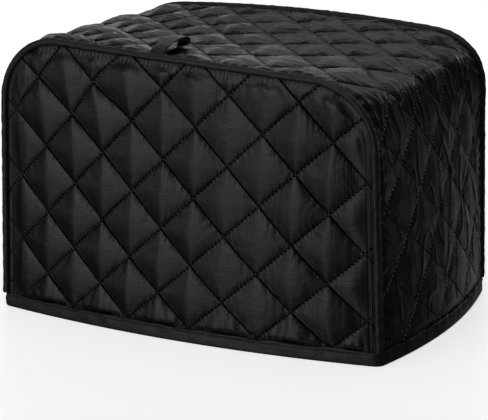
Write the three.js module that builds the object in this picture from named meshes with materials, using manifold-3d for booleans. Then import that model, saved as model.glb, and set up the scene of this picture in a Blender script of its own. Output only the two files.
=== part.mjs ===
// A quilted cloth cover for a two-slice toaster, standing on its hem.
// A front and a back panel with round top corners, one long band up the left side, over the top and down the
// right side, piping in both seams, a tape folded over the hem, and a tape loop sewn into the front seam.
// Millimetres, +Z up, the front faces -Y. The origin is the middle of the hem, on the surface it stands on.
import * as THREE from 'three';
import { mergeVertices } from 'three/addons/utils/BufferGeometryUtils.js';
import Module from 'manifold-3d';

const wasm = await Module();
wasm.setup();

// The cover as it was cut and sewn, before it stands and swells: seam to seam.
const WIDTH = 289.4;
const DEPTH = 187;
const HEIGHT = 199.5;
const CORNER_R = 45;

// The quilted cloth: its thickness where it is stitched flat, and how far a full diamond puffs out past that.
const CLOTH = 1.3;
const PUFF = 3.4;
const PUFF_CROWN = 0.6; // below 1 the puff is full, with steep sides at its seams
const PUFF_UNEVEN = 0.16; // some diamonds are fuller than others, by this share
const EDGE_FADE = 9; // the puffs flatten over this distance from a sewn edge

// The diamonds stand on their points. The seams cross at every second point of a grid of half diagonals.
const HALF_DIAGONAL = 24.4;
const STEPS = 3; // faces to a half diagonal
const PANEL_CROSSING = { across: -108.8, up: 177.6 };
const BAND_CROSSING = { across: -101.4, along: 91.6 };

// Small parts.
const PIPING_R = 2.5;
const GAP = 0.3;
const BINDING = { height: 10, leg: 1, floor: 1.2, play: 0.35, cornerR: 3.4, bevel: 0.5 };
const TAPE = { thick: 0.8, width: 10.5, middle: -21.1 };

// How the sewn shape stands. The hem spreads, the panels and sides swell low down, and the top sags.
const FLARE = 5.8;
const PANEL_SWELL = { hem: 13.8, top: 1.4 };
const SIDE_SWELL = { hem: 11.5, top: -3 };
const TOP_SAG = 5; // in the middle and on the right; the left shoulder stands up
const BACK_SPREAD = 2.6; // the back seam is wider at the top by this, on each side
const FRONT_SEAM_FALL = 0.037; // the top of the front seam falls to the right, mm for each mm
const BACK_SEAM_DROOP = 4; // the top of the back seam droops towards its round corners
const DROOP_REACH = 106;

const HALF_W = WIDTH / 2;
const HALF_D = DEPTH / 2;
const FLAT_TOP = HALF_W - CORNER_R;
const STRAIGHT_SIDE = HEIGHT - CORNER_R;
const ARC = (Math.PI / 2) * CORNER_R;
const BAND_HALF = FLAT_TOP + ARC + STRAIGHT_SIDE; // along the seam, from the middle of the top to the hem
const CELL = HALF_DIAGONAL / STEPS;
const SEAM_EDGE = PIPING_R + GAP; // the sheets stop this far short of the seam line, where the piping lies
const CLOTH_FOOT = BINDING.floor + BINDING.play; // the cloth ends here, inside its binding
const PUFF_FOOT = BINDING.height + 2 * GAP; // the puffs start here, just above it

const { clamp, smoothstep } = THREE.MathUtils;

// Where a point of the sewn shape comes to lie when the cover stands.
function settle(x, y, z) {
  const up = Math.min(z / HEIGHT, 1.05);
  const down = 1 - up;
  const midPanel = 1 - clamp(x / HALF_W, -1, 1) ** 2;
  const midSide = 1 - clamp(y / HALF_D, -1, 1) ** 2;
  const back = clamp(0.5 + y / DEPTH, 0, 1);
  const right = smoothstep(x, -HALF_W, HALF_W);
  const swellX = (SIDE_SWELL.hem * down + SIDE_SWELL.top * up * right) * midSide;
  const swellY = (PANEL_SWELL.hem * down + PANEL_SWELL.top * up) * midPanel;
  const droop = BACK_SEAM_DROOP * clamp(Math.abs(x) / DROOP_REACH, 0, 1) ** 2;
  const sag = TOP_SAG * midSide * smoothstep(x, -HALF_W, 0);
  const fall = sag + (1 - back) * FRONT_SEAM_FALL * x + back * droop;
  return new THREE.Vector3(
    x + (x / HALF_W) * (FLARE * down + BACK_SPREAD * back * up + swellX),
    y + (y / HALF_D) * swellY,
    z - fall * up ** 3,
  );
}

// The height of the puff at a place counted in half diagonals, before it fades at a sewn edge.
function puff(a, b) {
  const u = (a + b) / 2;
  const v = (a - b) / 2;
  const full = Math.abs(Math.sin(Math.PI * u) * Math.sin(Math.PI * v)) ** PUFF_CROWN;
  const uneven = Math.sin(2.1 * Math.floor(u) + 4.7 * Math.floor(v) + 1.3 * Math.floor(u) * Math.floor(v));
  return PUFF * full * (1 + PUFF_UNEVEN * uneven);
}

const edgeFade = (distance) => smoothstep(distance, 0, EDGE_FADE);

// How far a place on a panel lies inside its seam line, which is a rectangle with two round corners.
function insidePanel(x, z) {
  const qx = Math.abs(x) - FLAT_TOP;
  const qz = z - STRAIGHT_SIDE;
  return CORNER_R - Math.hypot(Math.max(qx, 0), Math.max(qz, 0)) - Math.min(Math.max(qx, qz), 0);
}

// A place on the band: along it from the middle of the top, across it, and out from the seam line.
function onBand(along, across, out) {
  const side = Math.sign(along);
  const far = Math.abs(along);
  const turn = clamp((far - FLAT_TOP) / CORNER_R, 0, Math.PI / 2);
  const reach = Math.min(far, FLAT_TOP) + (CORNER_R + out) * Math.sin(turn);
  const below = Math.max(far - FLAT_TOP - ARC, 0);
  const high = STRAIGHT_SIDE + (CORNER_R + out) * Math.cos(turn) - below;
  return settle(side * reach, across, high);
}

// A closed surface is collected face by face, and turned right side out at the end.
class Skin {
  points = [];
  faces = [];

  point(p) {
    return this.points.push(p) - 1;
  }

  // A grid of faces. It faces out for way = 1 and in for way = -1. rises says which diagonal splits a cell.
  grid(us, vs, at, way, rises = () => true) {
    const rows = us.map((u) => vs.map((v) => this.point(at(u, v))));
    for (let i = 0; i + 1 < us.length; i += 1) {
      for (let j = 0; j + 1 < vs.length; j += 1) {
        const [a, b, c, d] = [rows[i][j], rows[i + 1][j], rows[i + 1][j + 1], rows[i][j + 1]];
        const rising = rises((us[i] + us[i + 1]) / 2, (vs[j] + vs[j + 1]) / 2);
        const pair = rising ? [[a, b, c], [a, c, d]] : [[a, b, d], [b, c, d]];
        this.faces.push(...pair.map((face) => (way > 0 ? face : face.reverse())));
      }
    }
    return rows;
  }

  // A rim of faces between two rows of points, which may have different counts.
  rim(rowA, placesA, rowB, placesB) {
    let i = 0;
    let j = 0;
    while (i + 1 < rowA.length || j + 1 < rowB.length) {
      const lastB = j + 1 === rowB.length;
      const nextIsA = lastB || (i + 1 < rowA.length && placesA[i + 1] <= placesB[j + 1]);
      this.faces.push([rowA[i], rowB[j], nextIsA ? rowA[i + 1] : rowB[j + 1]]);
      if (nextIsA) i += 1;
      else j += 1;
    }
  }

  geometry() {
    const geometry = new THREE.BufferGeometry();
    geometry.setAttribute('position', new THREE.Float32BufferAttribute(this.points.flatMap((p) => p.toArray()), 3));
    const volume = this.faces.reduce((sum, [a, b, c]) => {
      const [p, q, r] = [this.points[a], this.points[b], this.points[c]];
      return sum + p.dot(new THREE.Vector3().crossVectors(q, r));
    }, 0);
    geometry.setIndex(this.faces.flatMap((face) => (volume > 0 ? face : [...face].reverse())));
    return geometry;
  }
}

const flip = (list) => [...list].reverse();
const negative = (list) => flip(list).map((value) => -value);

// A padded sheet: a fine outer face and a coarse inner face over the same patch, closed round its four rims.
function paddedSheet(fine, coarse, outer, inner, rises) {
  const skin = new Skin();
  const a = skin.grid(fine.us, fine.vs, outer, 1, rises);
  const b = skin.grid(coarse.us, coarse.vs, inner, -1);
  const column = (rows, j) => rows.map((row) => row.at(j));
  skin.rim(column(a, 0), fine.us, column(b, 0), coarse.us);
  skin.rim(a.at(-1), fine.vs, b.at(-1), coarse.vs);
  skin.rim(flip(column(a, -1)), negative(fine.us), flip(column(b, -1)), negative(coarse.us));
  skin.rim(flip(a[0]), negative(fine.vs), flip(b[0]), negative(coarse.vs));
  return skin.geometry();
}

const range = (from, to, count) => Array.from({ length: count + 1 }, (_, i) => from + ((to - from) * i) / count);

function solid(geometry) {
  const bare = geometry.clone();
  bare.deleteAttribute('normal');
  bare.deleteAttribute('uv');
  const merged = mergeVertices(bare, 1e-4);
  const vertProperties = new Float32Array(merged.attributes.position.array);
  const triVerts = new Uint32Array(merged.index.array);
  return new wasm.Manifold(new wasm.Mesh({ numProp: 3, vertProperties, triVerts }));
}

function fromSolid(manifold) {
  const { vertProperties, triVerts } = manifold.getMesh();
  const geometry = new THREE.BufferGeometry();
  geometry.setAttribute('position', new THREE.BufferAttribute(vertProperties, 3));
  geometry.setIndex(new THREE.BufferAttribute(triVerts, 1));
  return geometry;
}

// The outline of a panel inside its piping, as it stands, from the left foot over the top to the right foot.
function panelOutline(face) {
  const halfTurn = range(0, Math.PI / 2, 7);
  const arcR = CORNER_R - SEAM_EDGE;
  const left = range(CLOTH_FOOT, STRAIGHT_SIDE, 8).map((z) => [-FLAT_TOP - arcR, z]);
  const arc = halfTurn.map((turn) => [-FLAT_TOP - arcR * Math.cos(turn), STRAIGHT_SIDE + arcR * Math.sin(turn)]);
  const half = [...left, ...arc.slice(1)];
  const top = range(-FLAT_TOP, FLAT_TOP, 10).slice(1, -1).map((x) => [x, STRAIGHT_SIDE + arcR]);
  const foot = range(-FLAT_TOP - arcR, FLAT_TOP + arcR, 10).slice(1, -1).map((x) => [-x, CLOTH_FOOT]);
  const sewn = [...half, ...top, ...flip(half).map(([x, z]) => [-x, z]), ...foot];
  return sewn.map(([x, z]) => settle(x, face * HALF_D, z)).map((p) => new THREE.Vector2(p.x, p.z));
}

// Lines along the quilt's grid between two ends, with the ends and any extra lines that are asked for.
function gridLines(from, to, crossing, step, extra = []) {
  const fixed = [from, to, ...extra];
  const first = Math.ceil((from - crossing) / step);
  const last = Math.floor((to - crossing) / step);
  const even = range(first, last, last - first).map((k) => crossing + k * step);
  const kept = even.filter((line) => fixed.every((other) => Math.abs(line - other) > step * 0.3));
  return [...fixed, ...kept].sort((p, q) => p - q);
}

// Whether a cell of the quilt's grid, at a place in half diagonals, is split along the diagonal that rises.
const splitRises = (a, b) => (Math.floor(a * STEPS) + Math.floor(b * STEPS)) % 2 === 0;

// A panel: a padded sheet over a patch that is too large, cut to its outline. face is -1 in front, 1 behind.
function panel(face) {
  const crossing = PANEL_CROSSING;
  const over = HALF_DIAGONAL / 2;
  const place = (x, z, out) => settle(-face * x, face * (HALF_D + out), z);
  const outer = (x, z) => {
    const full = puff((x - crossing.across) / HALF_DIAGONAL, (crossing.up - z) / HALF_DIAGONAL);
    return place(x, z, full * edgeFade(insidePanel(x, z) - SEAM_EDGE) * edgeFade(z - PUFF_FOOT));
  };
  const sheet = paddedSheet(
    {
      us: gridLines(-HALF_W - over, HALF_W + over, crossing.across, CELL),
      vs: gridLines(-over, HEIGHT + over, crossing.up, CELL, [PUFF_FOOT]),
    },
    { us: range(-HALF_W - over, HALF_W + over, 12), vs: range(-over, HEIGHT + over, 8) },
    outer,
    (x, z) => place(x, z, -CLOTH),
    (x, z) => splitRises((x - crossing.across) / HALF_DIAGONAL, (z - crossing.up) / HALF_DIAGONAL),
  );
  const cutter = new THREE.ExtrudeGeometry(new THREE.Shape(panelOutline(face)), {
    depth: DEPTH / 2,
    bevelEnabled: false,
  });
  cutter.rotateX(Math.PI / 2);
  cutter.translate(0, face * HALF_D + DEPTH / 4, 0);
  return fromSolid(solid(sheet).intersect(solid(cutter)));
}

// The band, one padded strip over both sides and the top.
function band() {
  const crossing = BAND_CROSSING;
  const end = BAND_HALF - CLOTH_FOOT;
  const edge = HALF_D - SEAM_EDGE;
  const foot = BAND_HALF - PUFF_FOOT;
  const outer = (s, y) => {
    const full = puff((s - crossing.along) / HALF_DIAGONAL, (y - crossing.across) / HALF_DIAGONAL);
    return onBand(s, y, full * edgeFade(edge - Math.abs(y)) * edgeFade(foot - Math.abs(s)));
  };
  return paddedSheet(
    { us: gridLines(-end, end, crossing.along, CELL, [-foot, foot]), vs: gridLines(-edge, edge, crossing.across, CELL) },
    { us: range(-end, end, 40), vs: range(-edge, edge, 8) },
    outer,
    (s, y) => onBand(s, y, -CLOTH),
    (s, y) => splitRises((s - crossing.along) / HALF_DIAGONAL, (y - crossing.across) / HALF_DIAGONAL),
  );
}

// Faces between rings of points that follow one another. An open row of rings is capped at both ends.
function swept(skin, rings, closed) {
  const count = closed ? rings.length : rings.length - 1;
  for (let i = 0; i < count; i += 1) {
    const [ring, next] = [rings[i], rings[(i + 1) % rings.length]];
    ring.forEach((a, j) => {
      const k = (j + 1) % ring.length;
      skin.faces.push([a, next[j], next[k]], [a, next[k], ring[k]]);
    });
  }
  if (!closed) {
    const [first, last] = [rings[0], rings.at(-1)];
    for (let j = 1; j + 1 < first.length; j += 1) {
      skin.faces.push([first[0], first[j], first[j + 1]], [last[0], last[j + 1], last[j]]);
    }
  }
  return skin.geometry();
}

// The piping of one seam, from just above the hem's binding on the left to the same on the right.
function piping(face) {
  const end = BAND_HALF - BINDING.height - GAP;
  const side = range(FLAT_TOP + ARC, end, 8);
  const arc = range(FLAT_TOP, FLAT_TOP + ARC, 12).slice(0, -1);
  const half = [...range(0, FLAT_TOP, 6).slice(1, -1), ...arc, ...side];
  const places = [...negative(half), 0, ...half];
  const turns = range(0, 2 * Math.PI, 8).slice(1);
  const skin = new Skin();
  const rings = places.map((s) => turns.map((turn) => {
    const across = face * HALF_D + PIPING_R * Math.sin(turn);
    return skin.point(onBand(s, across, PIPING_R * Math.cos(turn)));
  }));
  return swept(skin, rings, false);
}

// The hem's path, seen from above: a point of the sewn edge and the way out from it.
function hemPath() {
  const { cornerR } = BINDING;
  const [x, y] = [HALF_W - cornerR, HALF_D - cornerR];
  const corner = (cx, cy, from) => range(from, from + Math.PI / 2, 4).map((turn) => ({ cx, cy, turn }));
  const wall = (a, b, turn, count) => range(0, 1, count).slice(1, -1).map((t) => ({
    cx: a[0] + (b[0] - a[0]) * t,
    cy: a[1] + (b[1] - a[1]) * t,
    turn,
  }));
  return [
    ...corner(x, -y, -Math.PI / 2),
    ...wall([x, -y], [x, y], 0, 12),
    ...corner(x, y, 0),
    ...wall([x, y], [-x, y], Math.PI / 2, 14),
    ...corner(-x, y, Math.PI / 2),
    ...wall([-x, y], [-x, -y], Math.PI, 12),
    ...corner(-x, -y, Math.PI),
    ...wall([-x, -y], [x, -y], 1.5 * Math.PI, 14),
  ];
}

// The binding: a tape folded up both faces of the cloth, swept round the hem.
function binding() {
  const { height, leg, floor, play, cornerR, bevel } = BINDING;
  const outer = play + leg;
  const inner = -CLOTH - play - leg;
  const section = [
    [outer, height],
    [play, height],
    [play, floor],
    [inner + leg, floor],
    [inner + leg, height],
    [inner, height],
    [inner, bevel],
    [inner + bevel, 0],
    [outer - bevel, 0],
    [outer, bevel],
  ];
  const path = hemPath();
  const skin = new Skin();
  const rings = path.map(({ cx, cy, turn }) => section.map(([out, z]) => {
    const r = cornerR + out;
    return skin.point(settle(cx + r * Math.cos(turn), cy + r * Math.sin(turn), z));
  }));
  return swept(skin, rings, true);
}

// The loop, from the side: how far behind the front seam, and how high over the top of the sewn shape.
const LOOP_SIDE = [
  { back: 2.8, up: 1.9 },
  { back: 6.5, up: 4.6 },
  { back: 14, up: 7.6 },
  { back: 23, up: 10.1 },
  { back: 33, up: 11.2 },
  { back: 39.5, up: 10.7 },
  { back: 42.6, up: 7.9 },
  { back: 39.8, up: 5.4 },
  { back: 32, up: 4.7 },
  { back: 21, up: 4.5 },
  { back: 10, up: 3.1 },
  { back: 2.8, up: 0.75 },
];

function hangLoop() {
  const knots = LOOP_SIDE.map(({ back, up }) => new THREE.Vector3(-HALF_D + back, HEIGHT + up, 0));
  const line = new THREE.CatmullRomCurve3(knots, false, 'centripetal');
  const places = range(0, 1, 30);
  const shifted = (side) => places.map((t) => {
    const [p, way] = [line.getPoint(t), line.getTangent(t)];
    return new THREE.Vector2(p.x - (side * way.y * TAPE.thick) / 2, p.y + (side * way.x * TAPE.thick) / 2);
  });
  const outline = new THREE.Shape([...shifted(1), ...flip(shifted(-1))]);
  const geometry = new THREE.ExtrudeGeometry(outline, { depth: TAPE.width, steps: 2, bevelEnabled: false });
  geometry.deleteAttribute('normal');
  geometry.deleteAttribute('uv');
  const merged = mergeVertices(geometry, 1e-4);
  const position = merged.attributes.position;
  for (let i = 0; i < position.count; i += 1) {
    const x = TAPE.middle - TAPE.width / 2 + position.getZ(i);
    const p = settle(x, position.getX(i), position.getY(i));
    position.setXYZ(i, p.x, p.y, p.z);
  }
  return merged;
}

const QUILTED = new THREE.MeshStandardMaterial({ color: 0x161617, roughness: 0.5, metalness: 0 });
const TRIM = new THREE.MeshStandardMaterial({ color: 0x101011, roughness: 0.55, metalness: 0 });

const PIECES = {
  front_panel: { geometry: panel(-1), material: QUILTED },
  back_panel: { geometry: panel(1), material: QUILTED },
  gusset_band: { geometry: band(), material: QUILTED },
  piping_front: { geometry: piping(-1), material: TRIM },
  piping_back: { geometry: piping(1), material: TRIM },
  hem_binding: { geometry: binding(), material: TRIM },
  hang_loop: { geometry: hangLoop(), material: TRIM },
};

const cover = new THREE.Group();
for (const [name, { geometry, material }] of Object.entries(PIECES)) {
  const mesh = new THREE.Mesh(geometry, material);
  mesh.name = name;
  cover.add(mesh);
}

export default cover;
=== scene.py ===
# %% [markdown]
# # A quilted toaster cover
#
# The cover is black padded cloth, stitched in diamonds. A front and a back panel with round top corners
# are sewn to one long band with piping in the seams, and a tape binds the hem. It stands open on that
# hem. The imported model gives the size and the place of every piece. This scene makes the same pieces
# again in fine detail: each is a surface worked out as arrays from a formula, so its folds and stitches
# can be traced back.

# %% The frame
import math

import bpy
import numpy as np
from mathutils import Matrix


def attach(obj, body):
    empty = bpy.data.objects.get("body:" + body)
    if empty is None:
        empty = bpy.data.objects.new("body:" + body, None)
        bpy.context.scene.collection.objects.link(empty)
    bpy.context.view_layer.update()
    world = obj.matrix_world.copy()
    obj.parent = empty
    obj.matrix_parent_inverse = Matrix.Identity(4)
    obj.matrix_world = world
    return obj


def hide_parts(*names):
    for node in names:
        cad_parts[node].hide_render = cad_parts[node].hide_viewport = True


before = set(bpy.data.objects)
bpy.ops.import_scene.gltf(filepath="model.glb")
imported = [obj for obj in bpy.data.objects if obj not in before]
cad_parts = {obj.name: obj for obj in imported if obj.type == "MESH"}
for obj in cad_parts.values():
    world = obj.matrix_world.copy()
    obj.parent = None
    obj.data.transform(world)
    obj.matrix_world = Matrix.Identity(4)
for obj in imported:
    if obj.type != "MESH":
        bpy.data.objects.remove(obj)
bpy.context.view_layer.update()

print("nodes:", sorted(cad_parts))

# %% [markdown]
# ## Sizes
#
# The real cover is cut from flat cloth, so its sizes are those of the sewn box, seam to seam. They could
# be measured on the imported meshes, but the settled cloth is bent everywhere. So the cutter's sizes are
# written here, in millimetres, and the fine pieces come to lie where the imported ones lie. Each mesh is
# made in metres.

# %% Sizes
MM = 0.001
WIDTH = 289.4
DEPTH = 187.0
HEIGHT = 199.5
CORNER_R = 45.0
CLOTH = 1.3
CLOTH_FOOT = 1.55
PIPING_R = 2.5
SEAM_GAP = 0.3
HEM_HEIGHT = 10.0
HALF_DIAGONAL = 24.4

HALF_W = WIDTH / 2
HALF_D = DEPTH / 2
FLAT_TOP = HALF_W - CORNER_R
STRAIGHT_SIDE = HEIGHT - CORNER_R
QUARTER = math.pi / 2
TURN = 2 * math.pi
ARC = QUARTER * CORNER_R
BAND_HALF = FLAT_TOP + ARC + STRAIGHT_SIDE
SEAM_EDGE = PIPING_R + SEAM_GAP
print("band, middle of the top to the hem: %.1f mm" % BAND_HALF)

# %% [markdown]
# ## How the cover stands
#
# Sewn flat, the cover would be a plain box with two round edges. Real padded cloth spreads at the hem,
# swells low down and sags at the top. A cloth simulation could find such a shape, but it would be hard to
# steer to the photo, and its seams would have to be tied together. So one function moves every point of
# the sewn shape to where it comes to rest, and every piece goes through it, which keeps seams and edges
# together.

# %% Steps and humps
def smooth(x, low, high):
    """A smooth step: 0 below low, 1 above high, and 3t^2 - 2t^3 in between."""
    t = np.clip((x - low) / (high - low), 0, 1)
    return t * t * (3 - 2 * t)


def hump(x, middle, width):
    """A round hump 1 high: exp(-t^2), where t is the distance from the middle in widths."""
    return np.exp(-((x - middle) / width) ** 2)


def tent(x, middle, width):
    """A pointed hump 1 high: exp(-t), where t is the distance from the middle in widths."""
    return np.exp(-np.abs(x - middle) / width)


print("a step and a hump halfway:", smooth(0.5, 0, 1), round(float(hump(0.5, 0, 1)), 3))

# %% Settle
HEM_SPREAD = 5.8
BACK_SPREAD = 2.6
SIDE_SWELL = 11.5
SIDE_HOLLOW = 3.0
PANEL_SWELL = 13.8
PANEL_TOP_SWELL = 1.4
TOP_SAG = 5.0
LEFT_SHOULDER = (-155, -105)
FRONT_SLOPE = 0.037
BACK_DROOP = 4.0
DROOP_PLACE = 106
SQUARE_OUT = 1.7
SQUARE_UP = 2.6
RIGHT_SHOULDER = (95, 125)
SQUARE_PLACE = (182, 22)


def settle(x, y, z):
    """Each side moves out by a share of its own place: most at the hem, and most in the middle of its
    length. The top falls by a share that grows with the cube of the height, and the back right corner
    stands a bit squarer than the others."""
    up = np.minimum(z / HEIGHT, 1.05)
    down = 1 - up
    mid_panel = 1 - np.clip(x / HALF_W, -1, 1) ** 2
    mid_side = 1 - np.clip(y / HALF_D, -1, 1) ** 2
    back = np.clip(0.5 + y / DEPTH, 0, 1)
    swell_x = (SIDE_SWELL * down - SIDE_HOLLOW * up * smooth(x, -HALF_W, HALF_W)) * mid_side
    swell_y = (PANEL_SWELL * down + PANEL_TOP_SWELL * up) * mid_panel
    droop = BACK_DROOP * np.clip(np.abs(x) / DROOP_PLACE, 0, 1) ** 2
    sag = TOP_SAG * mid_side * smooth(x, *LEFT_SHOULDER)
    square = back ** 2 * smooth(x, *RIGHT_SHOULDER) * hump(z, *SQUARE_PLACE)
    fall = sag + (1 - back) * FRONT_SLOPE * x + back * droop
    return np.stack([
        x + x / HALF_W * (HEM_SPREAD * down + BACK_SPREAD * back * up + swell_x) + SQUARE_OUT * square,
        y + y / HALF_D * swell_y,
        z - fall * up ** 3 + SQUARE_UP * square,
    ], axis=-1)


def on_band(along, across, out):
    """A place on the band: straight over the top, a quarter circle at the corner, then straight down."""
    far = np.abs(along)
    turn = np.clip((far - FLAT_TOP) / CORNER_R, 0, QUARTER)
    reach = np.minimum(far, FLAT_TOP) + (CORNER_R + out) * np.sin(turn)
    below = np.maximum(far - FLAT_TOP - ARC, 0)
    high = STRAIGHT_SIDE + (CORNER_R + out) * np.cos(turn) - below
    return settle(np.sign(along) * reach, across, high)


def on_panel(face, x, z, out):
    """A place on a panel: face is -1 in front and 1 behind, out is the distance out from the seam's
    plane."""
    return settle(x, face * (HALF_D + out), z)


print("middle of the top after settling, mm:", on_band(np.array(0.0), np.array(0.0), 0.0).round(1))

# %% [markdown]
# ## Meshes from grids
#
# A sheet of cloth is two grids of points, an outer face and an inner face, joined round their four edges.
# A Solidify modifier could give the thickness, but it would give the lining every fold of the outside
# too. The inner face hardly shows, so here it takes every third point only. All faces are found by index
# arithmetic.

# %% Grids
COARSE = 3
SPREAD_SAMPLES = 4001


def spread(low, high, step, edge_step, reach):
    """Places from low to high. They are edge_step apart within reach of an end and step apart in between:
    the sum of 1 / gap counts the steps, and the places are read back at even counts."""
    fine = np.linspace(low, high, SPREAD_SAMPLES)
    edge = np.minimum(fine - low, high - fine)
    gap = edge_step + (step - edge_step) * smooth(edge, reach * 0.5, reach * 1.5)
    count = np.concatenate([[0], np.cumsum(np.diff(fine) / ((gap[1:] + gap[:-1]) / 2))])
    parts = COARSE * int(round(count[-1] / COARSE))
    return np.interp(np.linspace(0, count[-1], parts + 1), count, fine)


def grid_faces(rows, cols, first=0):
    """The four corners of each cell in a grid whose points are numbered row by row."""
    i = np.arange(rows - 1)[:, None] * cols + np.arange(cols - 1)[None, :] + first
    return np.stack([i, i + cols, i + cols + 1, i + 1], axis=-1).reshape(-1, 4)


def rim_faces(fine, coarse):
    """Triangles between an edge and a coarser one that has every third of its points."""
    j = np.arange(len(fine) - 1)
    fans = np.stack([fine[j], fine[j + 1], coarse[j // COARSE]], axis=1)
    i = np.arange(len(coarse) - 1)
    closers = np.stack([coarse[i], fine[COARSE * i + COARSE], coarse[i + 1]], axis=1)
    return np.concatenate([fans, closers])


print("cells in a grid of 3 by 4 points:", len(grid_faces(3, 4)))

# %% Meshes
SHARP_ANGLE = math.radians(60)
MM_PER_UV = 100.0
NO_TRIS = np.zeros((0, 3), int)


def add_object(name, data):
    """An object for a mesh, a light or a camera, placed in the scene."""
    thing = bpy.data.objects.new(name, data)
    bpy.context.scene.collection.objects.link(thing)
    return thing


def cloth_map(p, q):
    """Pattern coordinates: places in mm across and along the cloth, where 1 stands for 100 mm."""
    return np.stack(np.broadcast_arrays(p, q), axis=-1) / MM_PER_UV


def make_piece(name, points, quads, tris, maps=None):
    """A mesh object from points in mm. Its volume is a sixth of the sum of a . (b x c) over its triangles,
    and where that is negative the faces are turned, so that they point outwards."""
    corners = np.concatenate([quads[:, [0, 1, 2]], quads[:, [0, 2, 3]], tris])
    a, b, c = (points[corners[:, k]] for k in range(3))
    volume = (a * np.cross(b, c)).sum() / 6
    if volume < 0:
        quads, tris = quads[:, ::-1], tris[:, ::-1]
    mesh = bpy.data.meshes.new(name)
    mesh.from_pydata((points * MM).tolist(), [], quads.tolist() + tris.tolist())
    order = np.concatenate([quads.ravel(), tris.ravel()]).astype(int)
    for title, places in (maps or {}).items():
        layer = mesh.uv_layers.new(name=title)
        layer.uv.foreach_set("vector", places.reshape(-1, 2)[order].astype(np.float32).ravel())
    mesh.shade_smooth()
    mesh.set_sharp_from_angle(angle=SHARP_ANGLE)
    print("%s: %d triangles, %.1f cm3" % (name, len(corners), abs(volume) / 1000))
    return add_object(name, mesh)


def sheet_piece(name, outer, inner, maps):
    """A closed sheet from two grids of points of the same shape, outer and inner."""
    rows, cols = outer.shape[:2]
    thin = inner[::COARSE, ::COARSE]
    t_rows, t_cols = thin.shape[:2]
    first = rows * cols
    a = np.arange(first).reshape(rows, cols)
    b = np.arange(t_rows * t_cols).reshape(t_rows, t_cols) + first
    quads = np.concatenate([grid_faces(rows, cols), grid_faces(t_rows, t_cols, first)[:, ::-1]])
    tris = np.concatenate([
        rim_faces(a[:, 0], b[:, 0])[:, ::-1],
        rim_faces(a[-1], b[-1])[:, ::-1],
        rim_faces(a[:, -1], b[:, -1]),
        rim_faces(a[0], b[0]),
    ])
    points = np.concatenate([outer.reshape(-1, 3), thin.reshape(-1, 3)])
    both = {title: np.concatenate([places.reshape(-1, 2), places[::COARSE, ::COARSE].reshape(-1, 2)])
            for title, places in maps.items()}
    return make_piece(name, points, quads, tris, both)


# %% [markdown]
# ## The quilting
#
# The seams cross in diamonds that stand on their points. Places are counted in half diagonals, so that
# seams run where the sum or the difference of the two counts is even. Between its seams each diamond
# puffs up like a small cushion, and the smooth cloth over the padding breaks along the diamond's upright
# diagonal into a soft ridge, which gives each diamond a lighter and a darker half. The diamonds could be
# modelled one by one, but a formula of the two counts makes them all at once and lets the seams wander a
# few millimetres, as real ones do.

# %% Quilt
PUFF = 3.9
CUSHION_SHARE = 0.15
CUSHION_POWER = 0.6
ROOF_LEFT = 0.8
ROOF_RIGHT = 0.1
ROOF_LIFT = 0.06
ROOF_BLUNT = 0.12
UNEVEN = 0.12
SEAM_PITCH = HALF_DIAGONAL * math.sqrt(2)


def quilt(a, b, ridge):
    """Height over the seams, from 0 to about 1. Each diamond mixes three forms: a cushion, the product of
    two half sine waves; a roof that falls evenly from its middle; and a vault, whose upright cuts are round
    arches that get lower towards the left and right corners. The left half takes more of the roof and the
    right half more of the vault. ridge says how blunt the upright ridge is."""
    u, v = (a + b) / 2, (a - b) / 2
    p, q = u - np.floor(u), v - np.floor(v)
    cushion = np.abs(np.sin(math.pi * p) * np.sin(math.pi * q)) ** CUSHION_POWER
    across, upright = p + q - 1, p - q
    tip = np.sqrt(1 + ridge ** 2)
    wide = (tip - np.sqrt(across ** 2 + ridge ** 2)) / (tip - ridge)
    roof = np.maximum(wide + ROOF_LIFT - np.sqrt(upright ** 2 + ROOF_BLUNT ** 2), 0)
    vault = wide * np.sqrt(np.clip(1 - (upright / np.maximum(1 - np.abs(across), 1e-3)) ** 2, 0, 1))
    uneven = np.sin(2.1 * np.floor(u) + 4.7 * np.floor(v) + 1.3 * np.floor(u) * np.floor(v))
    roof_share = ROOF_RIGHT + (ROOF_LEFT - ROOF_RIGHT) * smooth(-across, -0.1, 0.5)
    mixed = CUSHION_SHARE * cushion + roof_share * roof + (1 - CUSHION_SHARE - roof_share) * vault
    return mixed * (1 + UNEVEN * uneven)


def seam_distance(a, b):
    """Distance to the nearest seam in mm: how far half the sum or half the difference of the counts is from
    a whole number, times the distance between seams."""
    u, v = (a + b) / 2, (a - b) / 2
    return np.minimum(np.abs(u - np.round(u)), np.abs(v - np.round(v))) * SEAM_PITCH


def near_seam(a, b):
    """1 on a seam, fading to a third 5 mm away: exp(-distance / 5)."""
    return np.exp(-seam_distance(a, b) / 5.0)


print("seams are %.1f mm apart" % SEAM_PITCH)
print("height of a puff in its middle: %.1f mm" % (PUFF * quilt(1.0, 0.0, 0.1)))

# %% Folds by chance
def ripples(p, q, seed, count=16):
    """A soft random field about 1 high: a sum of plane waves of length 0.7 to 1.6, headings by chance."""
    chance = np.random.default_rng(seed)
    total = np.zeros(np.broadcast(p, q).shape)
    for heading, length, start in chance.uniform((0, 0.7, 0), (math.pi, 1.6, TURN), (count, 3)):
        wave = TURN / length
        total += np.sin(wave * (p * math.cos(heading) + q * math.sin(heading)) + start)
    return total / math.sqrt(count / 2)


def creases(p, q, seed, sharp):
    """Thin raised lines where a soft random field passes through 0: exp(-t^2), where t is field / sharp."""
    return np.exp(-(ripples(p, q, seed) / sharp) ** 2)


def edge_waves(along, length, chance):
    """Waves along a sewn edge: the sine of the place in wavelengths, shifted by a soft random field."""
    return np.sin(TURN * along / length + 2.0 * chance)


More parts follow.
